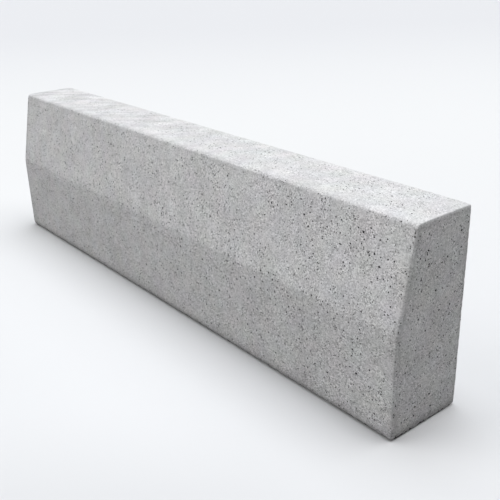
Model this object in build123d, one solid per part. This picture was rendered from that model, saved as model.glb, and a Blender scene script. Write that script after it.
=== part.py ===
from build123d import *
import os

# Half-battered concrete kerb stone, one metre long, cast as one piece.
#
# The road face stands upright at the foot and leans back above it, so that a wheel meets a slope. The back is
# upright, the bed and the top are level, and the ends are square, to butt against the next kerb of the run.
#
# X runs along the kerb, Y from the road face to the back, Z up. The origin is the centre of the bed.
# Sizes are in millimetres.

# Driving dimensions
length = 1000.0
top_width = 98.0
batter_setback = 27.0
upright_height = 142.0
batter_height = 133.0

# The foot turns into the batter through a soft blend, with no edge between them.
knee_radius = 25.0

# The arris that a wheel rubs is the roundest. The two along the bed are smaller, the one at the back of the top is
# smaller again, and the ones round the end faces are the smallest, because they close a joint.
nose_arris = 3.5
back_arris = 2.5
bed_arris = 3.0
end_arris = 1.5

# Sizes that follow
height = upright_height + batter_height
bed_width = top_width + batter_setback


def kerb_section():
    """Closed section across the kerb, in the YZ plane, with the road face towards -Y."""
    road_face = -bed_width / 2
    back_face = bed_width / 2
    foot = (road_face, 0)
    knee = (road_face, upright_height)
    nose = (back_face - top_width, height)
    crown = (back_face, height)
    heel = (back_face, 0)
    rounding = {foot: bed_arris, knee: knee_radius, nose: nose_arris, crown: back_arris, heel: bed_arris}

    with BuildSketch(Plane.YZ) as section:
        with BuildLine():
            Polyline(foot, knee, nose, crown, heel, close=True)
        make_face()
        for corner, radius in rounding.items():
            fillet(section.vertices().sort_by_distance(Vector(*corner))[0], radius)
    return section.sketch


def kerb_stone():
    """The section drawn out along X, with the arris taken off round both end faces."""
    with BuildPart() as kerb:
        extrude(kerb_section(), amount=length / 2, both=True)
        fillet(kerb.faces().filter_by(Axis.X).edges(), end_arris)
    return kerb.part


os.makedirs("parts", exist_ok=True)
export_step(kerb_stone(), "parts/kerb_stone.step")
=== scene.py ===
import math
import random

import bmesh
import bpy
from mathutils import Matrix, Vector, noise


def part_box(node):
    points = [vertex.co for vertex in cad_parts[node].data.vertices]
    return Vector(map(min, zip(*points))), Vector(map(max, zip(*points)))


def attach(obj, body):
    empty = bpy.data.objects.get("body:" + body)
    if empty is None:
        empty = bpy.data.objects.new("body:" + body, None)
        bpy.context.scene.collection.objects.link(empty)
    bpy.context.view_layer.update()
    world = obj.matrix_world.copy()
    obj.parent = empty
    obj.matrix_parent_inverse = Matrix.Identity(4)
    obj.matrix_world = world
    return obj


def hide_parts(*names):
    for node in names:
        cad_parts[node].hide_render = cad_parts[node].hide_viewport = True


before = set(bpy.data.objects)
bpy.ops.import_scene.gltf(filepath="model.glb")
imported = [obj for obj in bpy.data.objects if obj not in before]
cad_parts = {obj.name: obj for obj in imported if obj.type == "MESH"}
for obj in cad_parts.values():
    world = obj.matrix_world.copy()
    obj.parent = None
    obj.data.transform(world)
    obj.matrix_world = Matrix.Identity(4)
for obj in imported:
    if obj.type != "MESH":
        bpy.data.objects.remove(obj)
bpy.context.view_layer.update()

# The kerb: one block of pressed concrete, a metre long, with nothing fixed to it. A steel mould gives it an upright
# foot, a batter that leans back above the knee, a level top and square ends, and takes the sharpness off each arris.
MM = 0.001
KNEE_HEIGHT = 142 * MM
KNEE_BLEND = 2.5 * MM
KNEE_ROUNDING = 0.13 * MM
BATTER_SETBACK = 27 * MM
NOSE_ARRIS = 3.5 * MM
CROWN_ARRIS = 2.5 * MM
BED_ARRIS = 3 * MM
END_ARRIS = 0.8 * MM
BACK_END_ARRIS = 1.5 * MM
ARRIS_STEPS = 3

low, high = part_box("kerb_stone")
batter_slope = BATTER_SETBACK / (high.z - KNEE_HEIGHT)

bpy.ops.object.select_all(action="DESELECT")
bpy.ops.mesh.primitive_cube_add(size=1, location=(low + high) / 2, scale=high - low)
kerb = bpy.context.object
kerb.name = "kerb_casting"
bpy.ops.object.transform_apply(location=True, rotation=False, scale=True)


def cut_level(z):
    """Cuts right round the block at one height."""
    bpy.ops.mesh.select_all(action="SELECT")
    bpy.ops.mesh.bisect(plane_co=(0, 0, z), plane_no=(0, 0, 1))


def push_road_edge_back(z, distance):
    """Moves the edge of the road face at one height towards the back."""
    bpy.ops.mesh.select_all(action="DESELECT")
    shape = bmesh.from_edit_mesh(kerb.data)
    for vert in shape.verts:
        vert.select_set(vert.co.y < 0 and abs(vert.co.z - z) < 0.1 * MM)
    bmesh.update_edit_mesh(kerb.data)
    bpy.ops.transform.translate(value=(0, distance, 0))


bpy.ops.object.mode_set(mode="EDIT")
bpy.ops.mesh.select_mode(type="VERT")
cut_level(KNEE_HEIGHT)
push_road_edge_back(high.z, BATTER_SETBACK)
cut_level(KNEE_HEIGHT - KNEE_BLEND)
cut_level(KNEE_HEIGHT + KNEE_BLEND)
push_road_edge_back(KNEE_HEIGHT, KNEE_ROUNDING)
bpy.ops.object.mode_set(mode="OBJECT")


def road_gap(co):
    """How deep a point lies behind the road face."""
    if co.z <= KNEE_HEIGHT:
        return co.y - low.y
    return (co.y - low.y - batter_slope * (co.z - KNEE_HEIGHT)) / math.sqrt(1 + batter_slope**2)


def face_gaps(co):
    """How deep a point lies behind each kind of face, the nearest face first."""
    return sorted((high.x - abs(co.x), high.y - co.y, road_gap(co), high.z - co.z, co.z - low.z))


weight = kerb.data.attributes.new("bevel_weight_edge", "FLOAT", "EDGE")
for edge in kerb.data.edges:
    a, b = (kerb.data.vertices[i].co for i in edge.vertices)
    radius = 0
    if abs(a.x - b.x) > 0.5 * (high.x - low.x):
        if a.z > high.z - MM:
            radius = NOSE_ARRIS if a.y < 0 else CROWN_ARRIS
        elif a.z < low.z + MM:
            radius = BED_ARRIS
    elif face_gaps((a + b) / 2)[1] < 0.5 * MM:
        radius = BACK_END_ARRIS if min(a.y, b.y) > high.y - MM else END_ARRIS
    weight.data[edge.index].value = radius / NOSE_ARRIS

arrises = kerb.modifiers.new("arrises", "BEVEL")
arrises.limit_method = "WEIGHT"
arrises.width = NOSE_ARRIS
arrises.segments = ARRIS_STEPS
bpy.ops.object.modifier_apply(modifier=arrises.name)

# The skin is cut into facets small enough to wear, finer along the arrises than on the faces.
FACET = 5 * MM
ARRIS_STRIP = 6.5 * MM
LONGEST_FACET = 50 * MM
FIRST_CUTS = 15


def divide(axis, shortest, cuts):
    """Cuts every edge that runs further than a length along one axis, which draws a grid over the faces."""
    bpy.ops.mesh.select_all(action="DESELECT")
    shape = bmesh.from_edit_mesh(kerb.data)
    for edge in shape.edges:
        edge.select_set(abs(edge.verts[0].co[axis] - edge.verts[1].co[axis]) > shortest)
    bmesh.update_edit_mesh(kerb.data)
    bpy.ops.mesh.subdivide(number_cuts=cuts)


bpy.ops.object.mode_set(mode="EDIT")
bpy.ops.mesh.select_mode(type="EDGE")
divide(2, LONGEST_FACET, round(high.z / 2 / FACET) - 1)
divide(1, LONGEST_FACET, round(0.9 * (high.y - low.y) / FACET) - 1)
divide(0, LONGEST_FACET, FIRST_CUTS)
divide(0, LONGEST_FACET, round((high.x - low.x) / (FIRST_CUTS + 1) / FACET) - 1)
bpy.ops.mesh.select_mode(type="FACE")
bpy.ops.mesh.select_all(action="DESELECT")
shape = bmesh.from_edit_mesh(kerb.data)
for face in shape.faces:
    face.select_set(face_gaps(face.calc_center_median())[1] < ARRIS_STRIP)
bmesh.update_edit_mesh(kerb.data)
bpy.ops.mesh.subdivide(number_cuts=1)
bpy.ops.object.mode_set(mode="OBJECT")

# What handling has done: corners knocked round, most at the top of the back, and grains and small chips lost along the
# arrises, most at the bed.
# Each point also gets what the finish needs to know of its place.
ARRIS_REACH = 5 * MM
CORNER_REACH = 13 * MM
MARGIN_REACH = 14 * MM
SKIN = 3 * MM
KNEE_FADE = 8 * MM
KNOCKS_NOSE, KNOCKS_CROWN, KNOCKS_BED, KNOCKS_BACK, KNOCKS_END = 0.45, 0.25, 0.9, 0.5, 0.15
NOSE_CORNER, CROWN_CORNER, BED_CORNER = 0.3, 1.0, 0.45
CORNER_PASSES = 45
CLEAN_END = 0.55


def nearness(distance, reach):
    """1 at no distance, falling smoothly to 0 at the reach."""
    share = min(1, max(0, 1 - distance / reach))
    return share * share * (3 - 2 * share)


def knocks(co):
    """How hard the arris beside a point has been knocked."""
    if high.x - abs(co.x) < ARRIS_STRIP:
        return KNOCKS_BACK if high.y - co.y < ARRIS_STRIP else KNOCKS_END
    if co.z < ARRIS_STRIP:
        return KNOCKS_BED
    return KNOCKS_CROWN if co.y > 0 else KNOCKS_NOSE


def knocks_to_corner(co):
    """How hard the corner beside a point has been knocked."""
    if co.z < KNEE_HEIGHT:
        return BED_CORNER
    return CROWN_CORNER if co.y > 0 else NOSE_CORNER


arris_group = kerb.vertex_groups.new(name="arris")
corner_group = kerb.vertex_groups.new(name="corner")
traits = {"margin": [], "batter": [], "struck_top": [], "end_face": []}
for vert in kerb.data.vertices:
    co = vert.co
    gaps = face_gaps(co)
    arris_group.add([vert.index], nearness(gaps[1], ARRIS_REACH) * knocks(co), "REPLACE")
    corner = nearness(gaps[1], CORNER_REACH) * nearness(gaps[2], CORNER_REACH)
    corner_group.add([vert.index], corner * knocks_to_corner(co), "REPLACE")
    on_batter = nearness(road_gap(co), SKIN) * (1 - nearness(co.z - KNEE_HEIGHT + KNEE_BLEND, KNEE_FADE))
    on_top = nearness(high.z - co.z, SKIN)
    at_end = nearness(high.x - abs(co.x), SKIN)
    by_right_end = nearness(high.x - co.x, MARGIN_REACH) * nearness(road_gap(co), SKIN)
    traits["margin"].append(nearness(gaps[1], MARGIN_REACH) * (1 - on_top) * (1 - CLEAN_END * by_right_end))
    traits["batter"].append(on_batter)
    traits["struck_top"].append(on_top)
    traits["end_face"].append(at_end)
for trait, values in traits.items():
    kerb.data.attributes.new(trait, "FLOAT", "POINT").data.foreach_set("value", values)


def weather(name, depth, size, group="", contrast=1.0, brightness=1.0):
    """Pushes the surface inwards by a rough pattern of one size, in a group of points or all over."""
    pattern = bpy.data.textures.new(name, "CLOUDS")
    pattern.noise_scale = size
    pattern.noise_depth = 2
    pattern.contrast = contrast
    pattern.intensity = brightness
    pattern.use_clamp = True
    layer = kerb.modifiers.new(name, "DISPLACE")
    layer.texture = pattern
    layer.texture_coords = "LOCAL"
    layer.mid_level = 0
    layer.strength = -depth
    layer.vertex_group = group
    bpy.ops.object.modifier_apply(modifier=name)


weather("mould_wave", 0.5 * MM, 80 * MM)
rounding = kerb.modifiers.new("knocked_corners", "SMOOTH")
rounding.vertex_group = corner_group.name
rounding.factor = 1
rounding.iterations = CORNER_PASSES
bpy.ops.object.modifier_apply(modifier=rounding.name)
weather("knocked_corner", 1.0 * MM, 14 * MM, "corner")
weather("worn_arris", 0.6 * MM, 22 * MM, "arris")
weather("chips", 2.0 * MM, 5 * MM, "arris", contrast=4.0, brightness=0.3)
weather("lost_grains", 0.5 * MM, 3 * MM, "arris", contrast=1.6)
weather("grit", 0.12 * MM, 6 * MM)

# Air pores: round holes where bubbles lay against the mould, the largest about 3.5 mm wide, thick in some patches and
# thin in others. Each opens in the middle of four facets that are made one. The layer "opened" holds 1 on a facet that
# is being opened and 2 on all that a pore has taken, so that no two pores share a facet.
PORES = ((140, 1.6 * MM, 2), (800, 1.25 * MM, 2), (900, 0.95 * MM, 1))
PORE_CLUSTER = 55 * MM
RIM = 0.4 * MM

draw = random.Random(7)
bpy.ops.object.mode_set(mode="EDIT")
shape = bmesh.from_edit_mesh(kerb.data)
shape.faces.layers.int.new("opened")
shape.verts.layers.float.new("pore")


def sink(width, depth):
    """Draws the chosen faces in and down, and marks what is now their floor as inside a pore, where the finish paints
    shade.
    """
    bpy.ops.mesh.inset(thickness=width, depth=-depth, use_individual=True)
    shape = bmesh.from_edit_mesh(kerb.data)
    inside = shape.verts.layers.float["pore"]
    for face in shape.faces:
        if face.select:
            for vert in face.verts:
                vert[inside] = 1
    bmesh.update_edit_mesh(kerb.data)


for count, radius, drops in PORES:
    bpy.ops.mesh.select_mode(type="VERT")
    bpy.ops.mesh.select_all(action="DESELECT")
    shape = bmesh.from_edit_mesh(kerb.data)
    opened = shape.faces.layers.int["opened"]
    plain = [
        vert
        for vert in shape.verts
        if len(vert.link_edges) == 4
        and face_gaps(vert.co)[1] > ARRIS_STRIP
        and face_gaps(vert.co)[2] > CORNER_REACH
        and vert.co.z > low.z + SKIN
        and min(edge.calc_length() for edge in vert.link_edges) > radius + 2 * RIM
        and all(len(face.verts) == 4 and face[opened] == 0 for face in vert.link_faces)
    ]
    draw.shuffle(plain)
    used = set()
    found = 0
    for vert in plain:
        faces = {face.index for face in vert.link_faces}
        crowd = 0.5 + noise.noise(vert.co / PORE_CLUSTER)
        if faces & used or draw.random() > crowd * crowd:
            continue
        used |= faces
        for face in vert.link_faces:
            face[opened] = 1
        vert.select_set(True)
        found += 1
        if found == count:
            break
    bmesh.update_edit_mesh(kerb.data)
    bpy.ops.mesh.dissolve_verts()
    bpy.ops.mesh.select_mode(type="FACE")
    bpy.ops.mesh.select_all(action="DESELECT")
    shape = bmesh.from_edit_mesh(kerb.data)
    opened = shape.faces.layers.int["opened"]
    for face in shape.faces:
        face.select_set(face[opened] == 1)
        if face.select:
            face[opened] = 2
    bmesh.update_edit_mesh(kerb.data)
    bpy.ops.mesh.inset(thickness=RIM, depth=0, use_individual=True)
    shape = bmesh.from_edit_mesh(kerb.data)
    for face in shape.faces:
        if not face.select:
            continue
        centre = face.calc_center_median()
        room = min((vert.co - centre).length for vert in face.verts) - radius
        shift = Vector([draw.uniform(-0.6, 0.6) for axis in range(3)]) * max(0, room)
        shift -= shift.dot(face.normal) * face.normal
        for vert in face.verts:
            way = (vert.co - centre).normalized()
            vert.co = centre + shift + way * radius * draw.uniform(0.75, 1.1)
    bmesh.update_edit_mesh(kerb.data)
    sink(0.1 * radius, 0.65 * radius)
    if drops > 1:
        sink(0.35 * radius, 0.45 * radius)
bpy.ops.object.mode_set(mode="OBJECT")
bpy.ops.object.shade_smooth_by_angle(angle=math.radians(14))

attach(kerb, "root")
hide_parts("kerb_stone")


def linear(hex_colour):
    """An sRGB hex colour as linear red, green, blue and alpha."""
    channels = [int(hex_colour[i : i + 2], 16) / 255 for i in (1, 3, 5)]
    return [c / 12.92 if c <= 0.04045 else ((c + 0.055) / 1.055) ** 2.4 for c in channels] + [1.0]


def add(tree, kind, inputs=None, **settings):
    """Adds a node, sets its properties, sets or links its inputs, and gives back the node."""
    made = tree.nodes.new(kind)
    for name, value in settings.items():
        setattr(made, name, value)
    for name, value in (inputs or {}).items():
        if isinstance(value, bpy.types.NodeSocket):
            tree.links.new(value, made.inputs[name])
        else:
            made.inputs[name].default_value = value
    return made


# Pressed concrete, pale grey: cement paste round crushed sand, stripped from the mould while green. The skin shows
# its sand as a fine pepper of paler and darker grains, smooth where paste lay against the steel, with pinholes
# between, a struck-off top with faint float marks, and no sheen.
GRAIN = 1.5 * MM
GRAIN_CONTRAST = 0.305
PINHOLE_SPACING = 2.2 * MM
LEAST_PINHOLE = 0.1 * MM
LARGEST_PINHOLE = 1.2 * MM
PASTE_PATCH = 15 * MM
MOTTLE = 9 * MM
CLOUD = 45 * MM
TINT_PATCH = 30 * MM
GRAIN_RELIEF = 0.08 * MM
DUSTY_SHEEN = 0.15
RAGGED = 5 * MM
FOOT_RAGGED = 8 * MM

concrete = bpy.data.materials.new("pressed_concrete")
concrete.use_nodes = True
tree = concrete.node_tree
tree.nodes.clear()
place = add(tree, "ShaderNodeTexCoord").outputs["Object"]
axes = add(tree, "ShaderNodeSeparateXYZ", {"Vector": place}).outputs
margin, batter, struck_top, end_face, pore = (
    add(tree, "ShaderNodeAttribute", attribute_name=name).outputs["Fac"]
    for name in ("margin", "batter", "struck_top", "end_face", "pore")
)

grains = add(tree, "ShaderNodeTexVoronoi", {"Vector": place, "Scale": 1 / GRAIN}).outputs["Color"]
grain = add(tree, "ShaderNodeSeparateColor", {"Color": grains}).outputs["Red"]
paste = add(tree, "ShaderNodeTexNoise", {"Vector": place, "Scale": 1 / PASTE_PATCH, "Detail": 2.0}).outputs["Fac"]

# How much of the sand shows: less in patches of paste, near the arrises, on the struck top and towards one end.
limits = {"Value": paste, "From Min": 0.4, "From Max": 0.58, "To Min": 0.66, "To Max": 1.08}
open_skin = add(tree, "ShaderNodeMapRange", limits, interpolation_type="SMOOTHSTEP").outputs["Result"]
covers = [
    (margin, 0.2, 1.0, 1.0, 0.8),
    (struck_top, 0.0, 1.0, 1.0, 0.62),
    (end_face, 0.0, 1.0, 1.0, 0.8),
    (axes["X"], -0.45, 0.45, 0.72, 1.22),
]
show = add(tree, "ShaderNodeMath", {0: open_skin, 1: 2 * GRAIN_CONTRAST}, operation="MULTIPLY").outputs[0]
for value, start, end, least, most in covers:
    limits = {"Value": value, "From Min": start, "From Max": end, "To Min": least, "To Max": most}
    cover = add(tree, "ShaderNodeMapRange", limits, interpolation_type="SMOOTHSTEP").outputs["Result"]
    show = add(tree, "ShaderNodeMath", {0: show, 1: cover}, operation="MULTIPLY").outputs[0]
level_grain = add(tree, "ShaderNodeMath", {0: grain, 1: 0.5}, operation="SUBTRACT").outputs[0]
sand = add(tree, "ShaderNodeMath", {0: level_grain, 1: show, 2: 1.0}, operation="MULTIPLY_ADD").outputs[0]

# Pinholes: too small to model, so they are painted as dark round dots, painted shade in place of the shadow inside each
# hole, and the rarer the wider.
holes = add(tree, "ShaderNodeTexVoronoi", {"Vector": place, "Scale": 1 / PINHOLE_SPACING}).outputs
luck = add(tree, "ShaderNodeSeparateColor", {"Color": holes["Color"]}).outputs["Blue"]
rarity = add(tree, "ShaderNodeMath", {0: luck, 1: 5.0}, operation="POWER").outputs[0]
limits = {"Value": rarity, "To Min": LEAST_PINHOLE / PINHOLE_SPACING, "To Max": LARGEST_PINHOLE / PINHOLE_SPACING}
reach = add(tree, "ShaderNodeMapRange", limits).outputs["Result"]
closed = add(tree, "ShaderNodeMapRange", {"Value": struck_top, "To Min": 1.0, "To Max": 0.7}).outputs["Result"]
reach = add(tree, "ShaderNodeMath", {0: reach, 1: closed}, operation="MULTIPLY").outputs[0]
reach = add(tree, "ShaderNodeMath", {0: reach, 1: open_skin}, operation="MULTIPLY").outputs[0]
depth = add(tree, "ShaderNodeMath", {0: holes["Distance"], 1: reach}, operation="DIVIDE").outputs[0]

# Float marks: faint strokes across the struck top. Drag marks: faint dark lines where the mould slid up.
turned = add(tree, "ShaderNodeMapping", {"Vector": place, "Rotation": (0, 0, math.radians(-48))}).outputs["Vector"]
strokes = add(tree, "ShaderNodeMapping", {"Vector": turned, "Scale": (1 / 70, 1 / 18, 1 / 70)}).outputs["Vector"]
float_marks = add(tree, "ShaderNodeTexNoise", {"Vector": strokes, "Scale": 1 / MM, "Detail": 1.0}).outputs["Fac"]
drags = add(tree, "ShaderNodeMapping", {"Vector": place, "Scale": (1 / 4, 1 / 4, 1 / 50)}).outputs["Vector"]
drag_marks = add(tree, "ShaderNodeTexNoise", {"Vector": drags, "Scale": 1 / MM, "Detail": 1.0}).outputs["Fac"]
mottle = add(tree, "ShaderNodeTexNoise", {"Vector": place, "Scale": 1 / MOTTLE, "Detail": 1.0}).outputs["Fac"]
cloud = add(tree, "ShaderNodeTexNoise", {"Vector": place, "Scale": 1 / CLOUD, "Detail": 2.0}).outputs["Fac"]

# Painted light: the batter is painted paler than the foot, as the light from overhead would make it. Painted shadow: a
# dark line is painted where the kerb meets the ground. Both end raggedly.
ragged = add(tree, "ShaderNodeTexNoise", {"Vector": place, "Scale": 1 / RAGGED, "Detail": 0.0}).outputs["Fac"]
ragged = add(tree, "ShaderNodeMath", {0: ragged, 1: 0.5}, operation="SUBTRACT").outputs[0]
painted_batter_light = add(tree, "ShaderNodeMath", {0: ragged, 1: 0.8, 2: batter}, operation="MULTIPLY_ADD").outputs[0]
painted_foot_shadow = add(
    tree, "ShaderNodeMath", {0: ragged, 1: FOOT_RAGGED, 2: axes["Z"]}, operation="MULTIPLY_ADD"
).outputs[0]

shades = [
    # Painted shade: each pinhole darkened nearly to black.
    (depth, 0.8, 1.05, 0.05, 1.0),
    # Painted shade: the floor and walls of each modelled pore darkened nearly to black, over the hole's own shadow.
    (pore, 0.0, 0.6, 1.0, 0.04),
    # Painted light: the batter up to 13% paler.
    (painted_batter_light, 0.2, 0.8, 1.0, 1.13),
    (margin, 0.1, 0.9, 1.0, 0.86),
    (struck_top, 0.0, 1.0, 1.0, 0.98),
    # Painted shadow: the dark line at the foot, nearly black below about 3 mm.
    (painted_foot_shadow, 2.3 * MM, 3.3 * MM, 0.04, 1.0),
    # Painted shade: darker towards the bottom over the lowest 22 mm, as if shaded by the floor.
    (axes["Z"], 2.0 * MM, 22.0 * MM, 0.8, 1.0),
    (drag_marks, 0.58, 0.7, 1.0, 0.95),
    (mottle, 0.3, 0.7, 0.965, 1.035),
    (cloud, 0.3, 0.7, 0.95, 1.05),
]
shade = sand
for value, start, end, least, most in shades:
    limits = {"Value": value, "From Min": start, "From Max": end, "To Min": least, "To Max": most}
    factor = add(tree, "ShaderNodeMapRange", limits, interpolation_type="SMOOTHSTEP").outputs["Result"]
    shade = add(tree, "ShaderNodeMath", {0: shade, 1: factor}, operation="MULTIPLY").outputs[0]
limits = {"Value": axes["X"], "From Min": -0.5, "From Max": 0.2, "To Min": 0.8, "To Max": 0.16}
force = add(tree, "ShaderNodeMapRange", limits).outputs["Result"]
force = add(tree, "ShaderNodeMath", {0: force, 1: struck_top}, operation="MULTIPLY").outputs[0]
stroke = add(tree, "ShaderNodeMath", {0: float_marks, 1: 0.5}, operation="SUBTRACT").outputs[0]
stroke = add(tree, "ShaderNodeMath", {0: stroke, 1: force, 2: 1.0}, operation="MULTIPLY_ADD").outputs[0]
shade = add(tree, "ShaderNodeMath", {0: shade, 1: stroke}, operation="MULTIPLY").outputs[0]

tints = add(tree, "ShaderNodeTexNoise", {"Vector": place, "Scale": 1 / TINT_PATCH, "Detail": 0.0}).outputs["Color"]
tinted = add(
    tree, "ShaderNodeMix", {"Factor": 0.035, "A": linear("#CFCECE"), "B": tints}, data_type="RGBA", blend_type="OVERLAY"
)
colour = add(
    tree, "ShaderNodeMix", {"Factor": 1.0, "A": tinted.outputs["Result"], "B": shade}, data_type="RGBA", blend_type="MULTIPLY"
)
relief = add(tree, "ShaderNodeBump", {"Height": grain, "Distance": GRAIN_RELIEF}).outputs["Normal"]
skin = {"Base Color": colour.outputs["Result"], "Roughness": 0.9, "Specular IOR Level": DUSTY_SHEEN, "Normal": relief}
surface = add(tree, "ShaderNodeBsdfPrincipled", skin).outputs["BSDF"]
add(tree, "ShaderNodeOutputMaterial", {"Surface": surface})
kerb.data.materials.append(concrete)

# Studio: a wide pale paper floor painted with a pool of light, brightest behind the kerb, five soft lamps, and a camera
# at the photograph's place.
FLOOR_SIZE = 60.0
FLOOR_BOUNCE = "#AAAAAA"
# Painted light: the colour the floor shows at each distance in metres ahead of the camera, a pool of light painted on
# the paper.
FLOOR_SEEN = ((0.5, "#D0D0D1"), (0.85, "#DDDDDE"), (2.0, "#DEDEDE"), (5.0, "#D4D4D6"))
RAMP_LENGTH = 10.0
WALL_SEEN = "#EFEFF1"
CAMERA_PLACE = Vector((975.4, -648.1, 573.9)) * MM
CAMERA_AZIMUTH = math.radians(51.42)
CAMERA_ELEVATION = math.radians(23.22)
CAMERA_ROLL = math.radians(-1.77)
FOCAL_PIXELS = 754.3
PICTURE_PIXELS = 500


def shown(tree):
    """1 for a ray that only shows a thing, straight or in a reflection, and 0 for one that lights another thing."""
    rays = add(tree, "ShaderNodeLightPath").outputs
    seen = add(tree, "ShaderNodeMath", {0: rays["Is Camera Ray"], 1: rays["Is Glossy Ray"]}, operation="ADD")
    both = {0: seen.outputs[0], 1: rays["Is Transmission Ray"]}
    return add(tree, "ShaderNodeMath", both, operation="ADD", use_clamp=True).outputs[0]


bpy.ops.mesh.primitive_plane_add(size=FLOOR_SIZE, location=(0, 0, 0))
floor = bpy.context.object
floor.name = "studio_floor"
paper = bpy.data.materials.new("floor_paper")
paper.use_nodes = True
tree = paper.node_tree
tree.nodes.clear()
place = add(tree, "ShaderNodeTexCoord").outputs["Object"]
ahead = Vector((-math.sin(CAMERA_AZIMUTH), math.cos(CAMERA_AZIMUTH), 0))
start = CAMERA_PLACE.dot(ahead)
along = add(tree, "ShaderNodeVectorMath", {0: place, 1: ahead}, operation="DOT_PRODUCT").outputs["Value"]
limits = {"Value": along, "From Min": start, "From Max": start + RAMP_LENGTH}
share = add(tree, "ShaderNodeMapRange", limits).outputs["Result"]
painted_light_pool = add(tree, "ShaderNodeValToRGB", {"Fac": share})
painted_light_pool.color_ramp.interpolation = "EASE"
for distance, colour in FLOOR_SEEN[:-1]:
    painted_light_pool.color_ramp.elements.new(distance / RAMP_LENGTH).color = linear(colour)
painted_light_pool.color_ramp.elements[0].color = linear(FLOOR_SEEN[0][1])
painted_light_pool.color_ramp.elements[-1].position = FLOOR_SEEN[-1][0] / RAMP_LENGTH
painted_light_pool.color_ramp.elements[-1].color = linear(FLOOR_SEEN[-1][1])
pale = add(
    tree, "ShaderNodeMix", {"Factor": shown(tree), "A": linear(FLOOR_BOUNCE), "B": painted_light_pool.outputs["Color"]}, data_type="RGBA"
)
sheet = add(tree, "ShaderNodeBsdfDiffuse", {"Color": pale.outputs["Result"]})
add(tree, "ShaderNodeOutputMaterial", {"Surface": sheet.outputs["BSDF"]})
floor.data.materials.append(paper)

world = bpy.data.worlds.new("pale_studio")
bpy.context.scene.world = world
world.use_nodes = True
tree = world.node_tree
tree.nodes["Background"].inputs["Color"].default_value = linear(WALL_SEEN)
tree.links.new(shown(tree), tree.nodes["Background"].inputs["Strength"])

# Each lamp's strength is the light it gives a surface that faces it, where 1 shows a colour as it is written. Its
# place is given by how far it leans from overhead, and by the compass turn from the kerb's right-hand end.
LAMP_WIDTH = math.radians(40)
COOL_LAMP = (0.967, 1.0, 1.035)
PLAIN_LAMP = (1.0, 1.0, 1.0)
for name, strength, lean, turn, tint in (
    ("overhead_lamp", 0.725, 12, 135, COOL_LAMP),
    ("back_right_lamp", 0.325, 30, 45, PLAIN_LAMP),
    ("front_left_lamp", 0.3, 45, 225, PLAIN_LAMP),
    ("back_lamp", 0.2, 75, 90, PLAIN_LAMP),
    ("front_lamp", 0.175, 75, 270, PLAIN_LAMP),
):
    bpy.ops.object.light_add(type="SUN", location=(0, 0, 3), rotation=(0, math.radians(lean), math.radians(turn)))
    lamp = bpy.context.object
    lamp.name = name
    lamp.data.energy = math.pi * strength
    lamp.data.angle = LAMP_WIDTH
    lamp.data.color = tint

bpy.ops.object.camera_add()
camera = bpy.context.object
camera.matrix_world = (
    Matrix.Translation(CAMERA_PLACE)
    @ Matrix.Rotation(CAMERA_AZIMUTH, 4, "Z")
    @ Matrix.Rotation(math.pi / 2 - CAMERA_ELEVATION, 4, "X")
    @ Matrix.Rotation(CAMERA_ROLL, 4, "Z")
)
camera.data.sensor_width = 36
camera.data.lens = FOCAL_PIXELS / PICTURE_PIXELS * camera.data.sensor_width
bpy.context.scene.camera = camera
bpy.context.scene.view_settings.view_transform = "Standard"

bpy.context.view_layer.update()
